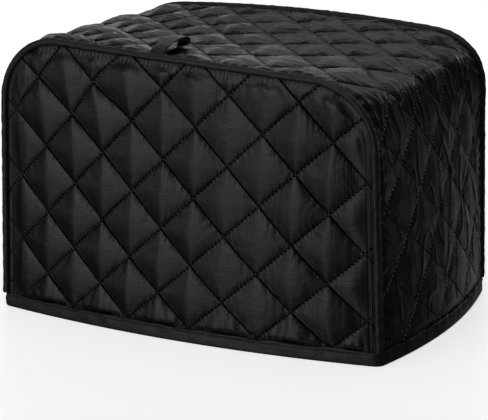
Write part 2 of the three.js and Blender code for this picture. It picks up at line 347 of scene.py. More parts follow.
def seam_puckers(a, b, length, chance):
    """Waves beside the quilting's seams: the sine of 0.7 of the way across over a length, shifted by a soft
    random field. They fade away from the nearest seam."""
    return np.sin(TURN * (a * HALF_DIAGONAL * 0.7 / length + 0.5 * chance)) * near_seam(a, b)


print("ripples at one place by two seeds:", ripples(0.0, 0.0, 1).round(2), ripples(0.0, 0.0, 2).round(2))

# %% Seams that wander
PANEL_START = (108.8, 177.6)
BAND_START = (91.6, -101.4)
PULLED = 5.0
PULLED_PLACE = (-64, 178)
PULLED_AREA = 450


def front_counts(x, z):
    """Half diagonals across and down from a crossing near the front's top left. The drift of the real seams
    from an even pattern is a low polynomial: the rows bow, and the columns lean and spread. One spot is
    pulled to the left besides, by a hump."""
    u, v = x / 145, (z - 100) / 100
    drift_x = -1.6 - 1.5 * u + 2.9 * v + 5.6 * u * u + 5.9 * u * v - 1.9 * v * v \
        - 3.9 * u * u * v + 7.9 * u * v * v - 3.1 * v ** 3
    drift_z = -0.3 + 1.7 * u + 0.7 * v - 1.2 * u * u + 3.6 * u * v + 3.9 * v * v \
        + 1.7 * u * v * v - 2.2 * v ** 3
    from_spot = (x - PULLED_PLACE[0]) ** 2 + (z - PULLED_PLACE[1]) ** 2
    x = x - drift_x + PULLED * np.exp(-from_spot / PULLED_AREA)
    return (x + PANEL_START[0]) / HALF_DIAGONAL, (PANEL_START[1] - z + drift_z) / HALF_DIAGONAL


def back_counts(x, z):
    """The back panel's pattern is even, seen from behind."""
    return (PANEL_START[0] - x) / HALF_DIAGONAL, (PANEL_START[1] - z) / HALF_DIAGONAL


def band_counts(s, y):
    """Half diagonals along and across the band. The drift is a low polynomial that fades out to the
    left."""
    u, v = (s - 150) / 150, y / 95
    fade = smooth(s, -120, -20)
    drift_s = -4.1 + 8.5 * u + 1.3 * v - 3.1 * u * u - 3.9 * u * v + 5.3 * v * v
    drift_y = -1.0 + 0.1 * u - 6.6 * v + 14.3 * u * u + 8.3 * u * v - 13.2 * v * v
    along, across = s - drift_s * fade - BAND_START[0], y - drift_y * fade - BAND_START[1]
    return along / HALF_DIAGONAL, across / HALF_DIAGONAL


print("counts at the middle of the front:", np.round(front_counts(0.0, 100.0), 2))

# %% [markdown]
# ## The panels
#
# A panel's top edge is straight with two round corners. A flat sheet could be cut to that outline, but
# the cut would leave ragged cells, so the grid has one column for each step along the top edge and runs
# down from there to the hem, and the corners come out round without cutting. The cloth is flat where it
# is caught in a seam, has a narrow ridge beside the piping where the seam's turned edge lies under it,
# and puckers where the seam draws it in. Right of the middle the padding is looser and its ridges are
# blunt.

# %% The panels' relief
FRONT_SEED = 11
BACK_SEED = 31
LOOSE_PLACE = (52, 34)
LOOSE_LOSS = 0.4
PANEL_PUCKER = 0.16
PANEL_WRINKLE = 0.04
PANEL_CREASE = 0.10
PANEL_EDGE_PUCKER = 0.25
TURNED_EDGE = 0.35
TURNED_GROOVE = 0.25


def inside_panel(x, z):
    """How far a place lies inside the seam line, a rectangle with two round corners: the corner's radius
    less the distance from the middle part, or more inside that part."""
    qx, qz = np.abs(x) - FLAT_TOP, z - STRAIGHT_SIDE
    outside = np.hypot(np.maximum(qx, 0), np.maximum(qz, 0))
    return CORNER_R - outside - np.minimum(np.maximum(qx, qz), 0)


def panel_relief(x, z, counts, seed):
    """The panel's height over its seam plane in mm: the sum of puffs, puckers and wrinkles, which fade out
    at the seams, of the puckers at its edges, and of the ridge and groove that the piping's seam makes."""
    a, b = counts(x, z)
    edge = inside_panel(x, z) - SEAM_EDGE
    foot = z - HEM_HEIGHT
    high = smooth(z, 140, 185)
    flat = smooth(edge, 1.6 - 0.8 * high, 19 - 9 * high) * smooth(foot, 0, 5)
    loose = hump(x, *LOOSE_PLACE)
    blunt = 0.02 + 0.04 * smooth(ripples(x / 60, z / 60, seed), -1, 1) + 0.7 * loose
    puff = PUFF * quilt(a, b, blunt) * (1 - LOOSE_LOSS * loose)
    pucker = PANEL_PUCKER * seam_puckers(a, b, 5.2, ripples(x / 30, z / 30, seed + 1))
    wrinkle = PANEL_WRINKLE * ripples(x / 17, z / 9, seed + 2)
    wrinkle += PANEL_CREASE * creases(x / 30, z / 15, seed + 3, 0.25)
    hem_pucker = PANEL_EDGE_PUCKER * edge_waves(x, 8.5, ripples(x / 40, z / 80, seed + 4))
    top_pucker = PANEL_EDGE_PUCKER * edge_waves(x + z * 0.6, 11, ripples(x / 35, z / 35, seed + 5))
    relief = (puff + pucker + wrinkle * (1 - 0.6 * near_seam(a, b))) * flat
    relief += hem_pucker * tent(foot, 4, 5) * smooth(foot, 0, 3)
    relief += top_pucker * tent(edge, 7, 5) * smooth(edge, 3, 7) * smooth(z, 120, 180)
    turned = TURNED_EDGE * hump(edge, 1.6, 0.8) - TURNED_GROOVE * hump(edge, 3.2, 0.7)
    return relief + (1 - high) * turned


middle = panel_relief(np.array([0.0]), np.array([100.0]), front_counts, FRONT_SEED)
print("relief in the middle of the front: %.1f mm" % middle[0])

# %% The panels
LINING_SHARE = 0.25
PANEL_RUN = 198


def lining(relief):
    """The inner face lies one cloth's thickness inside the seams, and a puff swells it by a quarter."""
    return -CLOTH - LINING_SHARE * np.clip(relief, 0, None)


def panel_grid():
    """Columns stand under evenly spread places on the top edge. Each runs down to the hem in the same
    shares of its own height, which is PANEL_RUN in the middle."""
    arc_r = CORNER_R - SEAM_EDGE
    reach = FLAT_TOP + arc_r * QUARTER
    along = spread(-reach, reach, 1.25, 0.9, 6)[:, None]
    turn = np.clip((np.abs(along) - FLAT_TOP) / arc_r, 0, QUARTER)
    x = np.sign(along) * (np.minimum(np.abs(along), FLAT_TOP) + arc_r * np.sin(turn))
    top = STRAIGHT_SIDE + arc_r * np.cos(turn)
    share = spread(0, 1, 1.2 / PANEL_RUN, 0.7 / PANEL_RUN, 8 / PANEL_RUN)[None, :]
    z = CLOTH_FOOT + share * (top - CLOTH_FOOT)
    return np.broadcast_to(x, z.shape), z


def panel_piece(name, face, counts, seed):
    """One panel. Its third map runs along the nearest sewn edge and inwards from it, for the puckers."""
    x, z = panel_grid()
    out = panel_relief(x, z, counts, seed)
    edge, foot = inside_panel(x, z) - SEAM_EDGE, z - HEM_HEIGHT
    beside = smooth(np.abs(x), HALF_W - 30, HALF_W - 12)
    along_edge = np.where(foot < edge, x, x * (1 - beside) + z * beside)
    maps = {
        "cloth": cloth_map(x, z),
        "seams": np.stack(counts(x, z), axis=-1),
        "edge": cloth_map(along_edge, np.minimum(edge + 8 * beside, foot)),
    }
    return sheet_piece(name, on_panel(face, x, z, out), on_panel(face, x, z, lining(out)), maps)


front = panel_piece("front_cloth", -1, front_counts, FRONT_SEED)
back = panel_piece("back_cloth", 1, back_counts, BACK_SEED)

# %% [markdown]
# ## The band
#
# The band is one padded strip up the left side, over the top and down the right side. Three flat pieces
# with joins could stand for it, but the real one has no joins there, so it is one grid bent over the
# corners. Where it turns from the top to a side its cloth is crushed, and it breaks into small upright
# folds. On the sides it hangs from that turn, so its puffs are flatter there and its wrinkles run
# downwards.

# %% The band's relief
BAND_RIDGE = 0.12
TOP_FULL = 0.84
LEFT_FULL = 0.22
LEFT_FULL_PLACE = (-105, 45)
SIDE_LOSS = 0.54
BAND_PUCKER = 0.2
CRUSHED = 0.85
SHOULDER_FOLD = 6.0
BAND_EDGE_PUCKER = 0.7
BAND_TURNED_EDGE = 0.4


def band_relief(s, y):
    """The band's height over its seam surface in mm: the sum of puffs, puckers, wrinkles that lie along the
    top and hang down the sides, the fold and the crushed cloth at each turn, and the seam's ridge."""
    a, b = band_counts(s, y)
    far = np.abs(s)
    edge = HALF_D - SEAM_EDGE - np.abs(y)
    foot = BAND_HALF - HEM_HEIGHT - far
    shoulder = FLAT_TOP + ARC * 0.45
    side = smooth(far, FLAT_TOP + 10, FLAT_TOP + ARC)
    flat = smooth(edge, 1.5, 9) * smooth(foot, 0.5, 9)
    full = TOP_FULL + LEFT_FULL * hump(s, *LEFT_FULL_PLACE) - SIDE_LOSS * side
    puff = PUFF * quilt(a, b, BAND_RIDGE) * full
    pucker = BAND_PUCKER * seam_puckers(a, b, 5.6, ripples(s / 30, y / 30, 51))
    lying = 0.08 * ripples(s / 34, y / 12, 52) + 0.55 * creases(s / 60, y / 16, 53, 0.14)
    hanging = 0.06 * ripples(s / 60, y / 11, 54) + 0.55 * creases(s / 70, y / 26, 55, 0.11)
    crushed = CRUSHED * creases(s / 70, y / 13, 56, 0.3)
    fold = SHOULDER_FOLD * hump(far, shoulder + 5, 12) * smooth(edge, 0, 40)
    at_edge = BAND_EDGE_PUCKER * edge_waves(s, 10, ripples(s / 40, y / 40, 57))
    relief = (puff + pucker + lying * (1 - side) + hanging * side) * flat
    relief += crushed * hump(far, shoulder + 18, 15) * smooth(edge, 2, 12)
    relief += at_edge * tent(edge, 5, 4) * smooth(edge, 0, 5) * smooth(foot, 0, 6)
    return relief + fold + BAND_TURNED_EDGE * hump(edge, 1.8, 0.9)


middle = band_relief(np.array([0.0]), np.array([0.0]))
print("relief in the middle of the top: %.1f mm" % middle[0])

# %% The band
def band_piece():
    """The band, as a grid along s and across y that on_band bends over the corners."""
    end = BAND_HALF - CLOTH_FOOT
    edge = HALF_D - SEAM_EDGE
    s, y = np.meshgrid(spread(-end, end, 1.35, 0.9, 8), spread(-edge, edge, 1.25, 0.75, 7), indexing="ij")
    out = band_relief(s, y)
    inside, foot = edge - np.abs(y), BAND_HALF - HEM_HEIGHT - np.abs(s)
    maps = {
        "cloth": cloth_map(s, y),
        "seams": np.stack(band_counts(s, y), axis=-1),
        "edge": cloth_map(np.where(foot < inside, y, s), np.minimum(inside, foot)),
    }
    return sheet_piece("band_cloth", on_band(s, y, out), on_band(s, y, lining(out)), maps)


band = band_piece()

# %% [markdown]
# ## Piping
#
# Each seam holds a round cord wrapped in a bias tape. A curve with a round bevel could make it, but the
# tape wrinkles on its cord. So the tube is a grid of rings that follows the seam from the hem over the
# top and down again, and its radius swells by slanted waves.

# %% Piping
PIPING_RINGS = 421
PIPING_SIDES = 20
PIPING_SLANT = 3.0


def tube_faces(stations, sides):
    """Cells between rings that follow one another; the last point of a ring joins its first."""
    i = np.arange(stations - 1)[:, None]
    j = np.arange(sides)[None, :]
    k = (j + 1) % sides
    cells = np.stack([i * sides + j, (i + 1) * sides + j, (i + 1) * sides + k, i * sides + k], axis=-1)
    return cells.reshape(-1, 4)


def end_faces(sides, first):
    """A fan of triangles over a ring."""
    j = np.arange(1, sides - 1)
    return np.stack([np.full_like(j, first), first + j, first + j + 1], axis=1)


def end_caps(stations, sides):
    """The fans over the first and the last ring of a tube."""
    return np.concatenate([end_faces(sides, 0), end_faces(sides, (stations - 1) * sides)[:, ::-1]])[:, ::-1]


def tube_piece(name, points, maps):
    """A closed tube from a grid of points, ring by ring."""
    stations, sides = points.shape[:2]
    caps = end_caps(stations, sides)
    return make_piece(name, points.reshape(-1, 3), tube_faces(stations, sides), caps, maps)


def piping_piece(name, face, seed):
    """The radius is the cord's, less a little, plus ripples and one fine wave; all of them slant, because
    the place they are read at runs ahead with the sine of the turn."""
    end = BAND_HALF - HEM_HEIGHT - SEAM_GAP
    s = np.linspace(-end, end, PIPING_RINGS)[:, None]
    turn = np.linspace(0, TURN, PIPING_SIDES, endpoint=False)[None, :]
    slanted = s + PIPING_SLANT * np.sin(turn)
    radius = PIPING_R - 0.12 + 0.10 * ripples(slanted / 7, turn * 0.4, seed)
    radius = radius + 0.07 * np.sin(TURN * slanted / 4.2)
    points = on_band(s, face * HALF_D + radius * np.sin(turn), radius * np.cos(turn))
    return tube_piece(name, points, {"cloth": cloth_map(s, PIPING_R * turn)})


piping_front = piping_piece("piping_cord_front", -1, 71)
piping_back = piping_piece("piping_cord_back", 1, 72)

# %% [markdown]
# ## The hem's binding
#
# A tape is folded up over the lower edges and held by one row of stitches, which presses a groove into it
# below its upper edge. It could be swept along a curve by Blender, but then its wrinkles could not follow
# the path. So its section, a narrow U with a round foot, is carried along the hem as arrays: four
# straight walls and four tight corners.

# %% The hem's path
BINDING_CORNER_R = 3.4
BINDING_STEP = 2.2
CORNER_STEPS = 9
CORNERS = [(1, -1), (1, 1), (-1, 1), (-1, -1)]


def hem_path(step):
    """Places on the hem's path, one in each row: the centre of its corner arc in x and y, and the heading
    out. Along a wall the centre moves in even steps and the heading stays."""
    cx, cy = HALF_W - BINDING_CORNER_R, HALF_D - BINDING_CORNER_R
    rows = []
    for quarter, (sx, sy) in enumerate(CORNERS):
        start = (quarter - 1) * QUARTER
        heading = start + np.linspace(0, QUARTER, CORNER_STEPS)
        corner_x, corner_y = np.full(CORNER_STEPS, sx * cx), np.full(CORNER_STEPS, sy * cy)
        rows.append(np.stack([corner_x, corner_y, heading], axis=1))
        nx, ny = CORNERS[(quarter + 1) % 4]
        count = int(2 * (cy if quarter % 2 == 0 else cx) / step)
        t = np.linspace(0, 1, count + 1)[1:-1]
        wall_x, wall_y = sx * cx + (nx - sx) * cx * t, sy * cy + (ny - sy) * cy * t
        rows.append(np.stack([wall_x, wall_y, np.full(len(t), start + QUARTER)], axis=1))
    return np.concatenate(rows)


def off_hem(cx, cy, heading, out, up):
    """A settled place beside the hem's path: the centre plus the corner's radius and the distance out, both
    along the heading, at a height."""
    r = BINDING_CORNER_R + out
    return settle(cx + r * np.cos(heading), cy + r * np.sin(heading), up)


def round_hem(cx, cy):
    """A number that changes along every wall of the hem, to read a pattern at."""
    return cx + cy * 1.7


print("places on the hem's path:", len(hem_path(BINDING_STEP)))

# %% Binding
BINDING_SECTION = np.array([
    # out, up
    (1.15, 10.0), (0.75, 10.2), (0.4, 9.9), (0.4, 6.0), (0.35, 1.3),
    (-1.65, 1.3), (-1.65, 9.8), (-2.1, 10.0), (-2.6, 9.7), (-2.65, 5.0),
    (-2.6, 1.2), (-2.2, 0.35), (-1.5, 0.02), (-0.6, 0.0), (0.3, 0.0),
    (0.95, 0.2), (1.35, 0.9), (1.45, 2.6), (1.35, 5.0), (1.3, 7.0), (1.2, 7.6),
    (0.65, 7.9), (0.65, 8.4), (1.45, 8.7), (1.6, 9.3),
])


def tape_wave(along, up):
    """How the tape's outer face swells, in mm: ripples and one fine wave, fading out to its foot."""
    wave = 0.30 * ripples(along / 16, up / 14, 81) + 0.16 * np.sin(TURN * along / 5.5 + up)
    return wave * smooth(up, 1, 6)


def binding_piece():
    """The section carried along the path. Its outer face swells, and its upper edge goes up and down."""
    path = hem_path(BINDING_STEP)
    cx, cy, heading = (path[:, k][:, None] for k in range(3))
    out, up = BINDING_SECTION[:, 0][None, :], BINDING_SECTION[:, 1][None, :]
    along = round_hem(cx, cy)
    swell = smooth(out, 0.4, 0.65) * smooth(up, 0.5, 3) * tape_wave(along, up)
    lift = 0.35 * ripples(along / 24, 0 * up, 82) * smooth(up, 8, 10)
    points = off_hem(cx, cy, heading, out + swell, up + lift)
    stations, sides = points.shape[:2]
    quads = tube_faces(stations + 1, sides) % (stations * sides)
    return make_piece("hem_tape", points.reshape(-1, 3), quads, NO_TRIS, {"cloth": cloth_map(along, up)})


binding = binding_piece()

# %% [markdown]
# ## The loop
#
# A narrow tape, folded double, stands out of the front seam and lies back over the top, to hang the cover
# on a hook. A cloth strip could be dropped there, but a short loop is better given point by point. It is
# drawn from the side as a line through a few points, and the line is given the tape's thickness, width
# and ribs.

# %% Loop
TAPE_THICK = 0.8
TAPE_WIDTH = 10.5
TAPE_MIDDLE = -21.1
TAPE_RIB = 0.05
TAPE_RIB_PITCH = 1.6
LOOP_STATIONS = 97
LOOP_SIDE = np.array([
    # behind the front seam, over the top
    (2.8, 1.9), (6.5, 4.6), (14.0, 7.6), (23.0, 10.1), (33.0, 11.2), (39.5, 10.7),
    (42.6, 7.9), (39.8, 5.4), (32.0, 4.7), (21.0, 4.5), (10.0, 3.1), (2.8, 0.75),
])


def through(knots, count):
    """A smooth line through knots: on each span a cubic whose ends lean along the neighbouring knots."""
    padded = np.concatenate([[2 * knots[0] - knots[1]], knots, [2 * knots[-1] - knots[-2]]])
    place = np.linspace(0, len(knots) - 1, count)
    i = np.minimum(place.astype(int), len(knots) - 2)
    t = (place - i)[:, None]
    p0, p1, p2, p3 = (padded[i + k] for k in range(4))
    return 0.5 * (2 * p1 + (p2 - p0) * t + (2 * p0 - 5 * p1 + 4 * p2 - p3) * t ** 2
                  + (3 * p1 - p0 - 3 * p2 + p3) * t ** 3)


def unit(arrows):
    """Each row divided by its length."""
    return arrows / np.linalg.norm(arrows, axis=1, keepdims=True)


def tape_section():
    """A thin flat oval, as widths and thicknesses: its faces are ribbed, and its two edges are rounded."""
    w = np.array([-1, -0.97, -0.9, -0.5, 0, 0.5, 0.9, 0.97, 1])
    rim = TAPE_THICK / 2 * np.sqrt(np.clip(1 - (np.abs(w) - 0.9).clip(0) ** 2 / 0.012, 0.05, 1))
    wide = np.concatenate([w, w[::-1]]) * TAPE_WIDTH / 2
    thick = np.concatenate([rim, -rim[::-1]])
    return wide, thick + TAPE_RIB * np.sin(TURN * wide / TAPE_RIB_PITCH) * np.sign(thick)


def loop_piece():
    """The tape's section, set across the line at every station and turned square to it."""
    line = through(LOOP_SIDE, LOOP_STATIONS)
    way = unit(np.gradient(line, axis=0))
    side = np.stack([-way[:, 1], way[:, 0]], axis=1)
    wide, thick = tape_section()
    place = line[:, None, :] + thick[None, :, None] * side[:, None, :]
    x = np.broadcast_to(TAPE_MIDDLE + wide[None, :], place.shape[:2])
    length = np.concatenate([[0], np.cumsum(np.linalg.norm(np.diff(line, axis=0), axis=1))])
    print("tape in the loop: %.1f mm" % length[-1])
    points = settle(x, -HALF_D + place[..., 0], HEIGHT + place[..., 1])
    return tube_piece("loop_tape", points, {"cloth": cloth_map(x, length[:, None])})


loop = loop_piece()

# %% [markdown]
# ## Stitches
#
# Every seam of the quilting is a row of running stitches, and one row holds the binding. Dashes painted
# on the cloth would be less work, but a real stitch is a short thick thread that dips into the cloth at
# both ends and catches the light on its back. So one small spindle is worked out, and arrays set it at
# every place at once. The places are found by asking where on a sheet a pair of counts lies.

# %% Places along the seams
STITCH_PITCH = 3.3
SEARCH_STEPS = 14
SEARCH_SHARE = 0.9
SEARCH_ROOM = 60


def invert(counts, a, b, low, high):
    """The place on a sheet that has given counts. From the sheet's middle it steps nearer a few times: each
    step is the missing count divided by the counts per mm at the middle, less a tenth."""
    p, q = np.full(a.shape, (low[0] + high[0]) / 2), np.full(a.shape, (low[1] + high[1]) / 2)
    a0, b0 = counts(p, q)
    da = (counts(p + 1, q)[0] - a0).mean()
    db = (counts(p, q + 1)[1] - b0).mean()
    for _ in range(SEARCH_STEPS):
        a1, b1 = counts(p, q)
        p = np.clip(p + (a - a1) / da * SEARCH_SHARE, low[0] - SEARCH_ROOM, high[0] + SEARCH_ROOM)
        q = np.clip(q + (b - b1) / db * SEARCH_SHARE, low[1] - SEARCH_ROOM, high[1] + SEARCH_ROOM)
    return p, q


def seam_rows(counts, low, high):
    """One row for each stitch on both sets of seams inside a rectangle: where it starts, a place half a
    pitch further along its seam, and 1 if the seam rises to the right."""
    ends = np.array([counts(p, q) for p in (low[0], high[0]) for q in (low[1], high[1])], dtype=float)
    far = int(np.abs(ends).max()) + 3
    step = STITCH_PITCH / SEAM_PITCH
    line, place = np.meshgrid(np.arange(-far, far + 1), np.arange(-far, far, step), indexing="ij")
    line, place = line.ravel().astype(float), place.ravel()
    found = []
    for rising in (True, False):
        u, v = (line, place) if rising else (place, line)
        start = invert(counts, u + v, u - v, low, high)
        u, v = (line, place + step / 2) if rising else (place + step / 2, line)
        further = invert(counts, u + v, u - v, low, high)
        found.append(np.stack([*start, *further, np.full(len(line), float(rising))], axis=1))
    rows = np.concatenate(found)
    p, q = rows[:, 0], rows[:, 1]
    return rows[(p > low[0]) & (p < high[0]) & (q > low[1]) & (q < high[1])]


print("stitches in one side of a diamond: %.1f" % (SEAM_PITCH / STITCH_PITCH))

# %% The shape of a stitch
RING_PLACES = np.array([0.0, 0.2, 0.5, 0.8, 1.0])
RING_GIRTHS = np.array([0.45, 0.95, 1.0, 0.95, 0.45])
RING_LIFTS = np.array([-0.7, 0.5, 0.8, 0.5, -0.7])
THREAD_SIDES = 6


def thread_piece(name, start, end, up, radius):
    """Stitches from start to end as one mesh. Each is a bent spindle of five rings: a ring's middle is a
    share of the way along plus a share of the radius upwards, and its girth is a share of the radius."""
    way = end - start
    side = unit(np.cross(unit(way), up))
    turn = np.linspace(0, TURN, THREAD_SIDES, endpoint=False)
    lift = RING_LIFTS[None, :, None] * radius[:, None, None]
    middle = start[:, None] + way[:, None] * RING_PLACES[None, :, None] + up[:, None] * lift
    ring = np.cos(turn)[None, :, None] * side[:, None] + np.sin(turn)[None, :, None] * up[:, None]
    girth = RING_GIRTHS[None, :, None, None] * radius[:, None, None, None]
    points = middle[:, :, None] + ring[:, None] * girth
    rings = len(RING_PLACES)
    shift = (np.arange(len(start)) * rings * THREAD_SIDES)[:, None, None]
    quads = (tube_faces(rings, THREAD_SIDES)[None] + shift).reshape(-1, 4)
    tris = (end_caps(rings, THREAD_SIDES)[None] + shift).reshape(-1, 3)
    return make_piece(name, points.reshape(-1, 3), quads, tris)


def normal_of(place, p, q, step=0.6):
    """The way out of a surface, from the cross product of two short steps on it."""
    du = place(p + step, q) - place(p - step, q)
    dv = place(p, q + step) - place(p, q - step)
    return unit(np.cross(du, dv))


sizes = (len(RING_PLACES), THREAD_SIDES)
print("triangles in one stitch:", 2 * len(tube_faces(*sizes)) + len(end_caps(*sizes)))

# %% The threads of the quilting
RISING_THREAD_R = 0.36
FALLING_THREAD_R = 0.22
THREAD_R_RANGE = (0.85, 1.15)
STITCH_REACH = 1.25
BESIDE_SEAM = 1.2
ABOVE_HEM = 1.0
BAND_MIDDLE_UP = 60.0
BAND_THREAD_SEED = 91


def stitched(name, counts, low, high, keep, place, outward, seed):
    """The stitches of one sheet. Each runs from its start a bit past the place half a pitch further. The
    surface's normal, turned outwards, says which way is up, and the radius varies by chance."""
    rows = seam_rows(counts, low, high)
    rows = rows[keep(rows[:, 0], rows[:, 1])]
    p, q, p1, q1, rising = rows.T
    start = place(p, q)
    up = normal_of(place, p, q)
    up *= np.sign((up * outward(start)).sum(axis=1, keepdims=True))
    radius = np.where(rising > 0.5, RISING_THREAD_R, FALLING_THREAD_R)
    radius = radius * np.random.default_rng(seed).uniform(*THREAD_R_RANGE, len(p))
    return thread_piece(name, start, start + (place(p1, q1) - start) * STITCH_REACH, up, radius)


def panel_threads(name, face, counts, seed):
    """A panel's stitches, up to its seam and its binding. Outwards is straight ahead or straight back."""
    def place(x, z):
        """A place on the puffed panel."""
        return on_panel(face, x, z, panel_relief(x, z, counts, seed))

    def keep(x, z):
        """Whether a place is clear of the seam and the binding."""
        return (inside_panel(x, z) - SEAM_EDGE > BESIDE_SEAM) & (z > HEM_HEIGHT + ABOVE_HEM)

    def outward(start):
        """The same way for all: face is -1 in front and 1 behind."""
        return np.array([[0, face, 0]])

    return stitched(name, counts, (-HALF_W, 0), (HALF_W, HEIGHT), keep, place, outward, seed)


def band_threads():
    """The band's stitches, up to its seams and its binding. Outwards is away from the middle of the
    cover."""
    def place(s, y):
        """A place on the puffed band."""
        return on_band(s, y, band_relief(s, y))

    def keep(s, y):
        """Whether a place is clear of the seams and the binding."""
        inside = HALF_D - SEAM_EDGE - np.abs(y) > BESIDE_SEAM
        return inside & (BAND_HALF - np.abs(s) > HEM_HEIGHT + ABOVE_HEM)

    def outward(start):
        """The way from the middle of the cover to each stitch."""
        return start - np.array([[0, 0, BAND_MIDDLE_UP]])

    low, high = (-BAND_HALF, -HALF_D), (BAND_HALF, HALF_D)
    return stitched("threads_band", band_counts, low, high, keep, place, outward, BAND_THREAD_SEED)


threads_front = panel_threads("threads_front", -1, front_counts, FRONT_SEED)
threads_back = panel_threads("threads_back", 1, back_counts, BACK_SEED)
threads_band = band_threads()

# %% The threads of the hem
GROOVE_UP = 8.2
GROOVE_OUT = 0.9
HEM_THREAD_R = 0.34
HEM_STITCH_SHARE = 0.7
SHORTEST_STITCH = 2.0


def hem_threads():
    """One row of stitches along the tape's groove, each from one place on the hem's path to near the
    next."""
    cx, cy, heading = hem_path(STITCH_PITCH).T
    out = GROOVE_OUT + tape_wave(round_hem(cx, cy), GROOVE_UP)
    place = off_hem(cx, cy, heading, out, GROOVE_UP)
    reach = np.roll(place, -1, axis=0) - place
    way_out = np.stack([np.cos(heading), np.sin(heading), 0 * heading], axis=1)
    kept = np.linalg.norm(reach, axis=1) > SHORTEST_STITCH
    start, end = place[kept], (place + HEM_STITCH_SHARE * reach)[kept]
    return thread_piece("threads_hem", start, end, way_out[kept], np.full(len(start), HEM_THREAD_R))


threads_hem = hem_threads()

# %% [markdown]
# ## Node helpers
#
# The real cloth gets its look from its weave, its seams and its creases, and each of those is many small
# nodes here. Nodes can be joined by hand in the editor, but in a script each takes four or five lines. A
# few helpers make a node and feed its inputs in one line, so that a formula in nodes reads nearly like
# the formula.

# %% Node helpers
def feed(tree, socket, value):
    """Give an input its value: a link if the value is another node's output, or else the plain value."""
    if isinstance(value, bpy.types.NodeSocket):
        tree.links.new(value, socket)
    else:
        socket.default_value = value


def add_node(tree, kind, **values):
    """A node with its inputs fed by name, where _ stands for a space."""
    node = tree.nodes.new("ShaderNode" + kind)
    for title, value in values.items():
        feed(tree, node.inputs[title.replace("_", " ")], value)
    return node


def math_node(tree, operation, *values, clamp=False):
    """One step of arithmetic on sockets or plain numbers, kept between 0 and 1 if clamp is set."""
    node = tree.nodes.new("ShaderNodeMath")
    node.operation = operation
    node.use_clamp = clamp
    for socket, value in zip(node.inputs, values):
        feed(tree, socket, value)
    return node.outputs[0]


def mix_colour(tree, factor, a, b):
    """A colour between two: a where the factor is 0, and b where it is 1."""
    node = tree.nodes.new("ShaderNodeMix")
    node.data_type = "RGBA"
    for title, value in (("Factor", factor), ("A", a), ("B", b)):
        feed(tree, node.inputs[title], value)
    return node.outputs["Result"]


def new_group(name, inputs, outputs):
    """An empty node group with named inputs and outputs, and its two end nodes."""
    group = bpy.data.node_groups.new(name, "ShaderNodeTree")
    for title, kind, default in inputs:
        socket = group.interface.new_socket(title, in_out="INPUT", socket_type="NodeSocket" + kind)
        if default is not None:
            socket.default_value = default
    for title in outputs:
        group.interface.new_socket(title, in_out="OUTPUT", socket_type="NodeSocketFloat")
    return group, group.nodes.new("NodeGroupInput"), group.nodes.new("NodeGroupOutput")


print("node groups so far:", len(bpy.data.node_groups))

# %% [markdown]
# ## The weave
#
# The cloth is a close plain weave: a warp and a weft that cross over and under. A picture of cloth could
# be laid on it, but it would blur close up and show where it repeats. Two sets of fine waves are
# multiplied for the crossings, a noise makes the thread uneven, and two long stretched noises give the
# streaks along warp and weft.

# %% Weave group
SLUB_SCALE = 60
STREAK_LONG = 4.0
STREAK_NARROW = 110.0


def weave_group():
    """Height is half of warp times weft, plus a half. Tone is 0.6 of a noise and 0.4 of the height. Streak
    is the sum of two noises, each drawn out along one thread direction."""
    group, start, end = new_group(
        "Plain weave", [("Vector", "Vector", None), ("Thread", "Float", 0.45)], ["Height", "Tone", "Streak"])
    place = start.outputs["Vector"]
    split = add_node(group, "SeparateXYZ", Vector=place)
    turns = math_node(group, "DIVIDE", MM_PER_UV * math.pi, start.outputs["Thread"])
    warp = math_node(group, "SINE", math_node(group, "MULTIPLY", split.outputs[0], turns))
    weft = math_node(group, "SINE", math_node(group, "MULTIPLY", split.outputs[1], turns))
    height = math_node(group, "MULTIPLY_ADD", math_node(group, "MULTIPLY", warp, weft), 0.5, 0.5)
    slub = add_node(group, "TexNoise", Vector=place, Scale=SLUB_SCALE, Detail=3)
    streaks = []
    for scale in ((STREAK_LONG, STREAK_NARROW, 1.0), (STREAK_NARROW, STREAK_LONG, 1.0)):
        drawn = add_node(group, "Mapping", Vector=place, Scale=scale)
        streak = add_node(group, "TexNoise", Vector=drawn.outputs[0], Scale=1.0, Detail=1.0)
        streaks.append(streak.outputs[0])
    tone = math_node(group, "MULTIPLY_ADD", slub.outputs[0], 0.6, math_node(group, "MULTIPLY", height, 0.4))
    feed(group, end.inputs["Height"], height)
    feed(group, end.inputs["Streak"], math_node(group, "ADD", *streaks))
    feed(group, end.inputs["Tone"], tone)
    return group


WEAVE = weave_group()
print("nodes in the weave:", len(WEAVE.nodes))

# %% [markdown]
# ## The quilt's seams and the sewn edges
#
# A row of stitches presses a groove into the cloth, tighter at each stitch, and short puckers run out
# from it. The sewn edges have such puckers too. They could be modelled, but the grid's steps are as wide
# as the groove, so they are bumps. Both groups read maps that were stored with the mesh: the counts of
# the quilting, and the distance from the nearest sewn edge.

# %% Seam and pucker groups
STITCHES_PER_COUNT = HALF_DIAGONAL / math.sqrt(2) / STITCH_PITCH
PUCKER_REACH = 0.10
RISING_SWING = 0.55
FALLING_SWING = 0.2


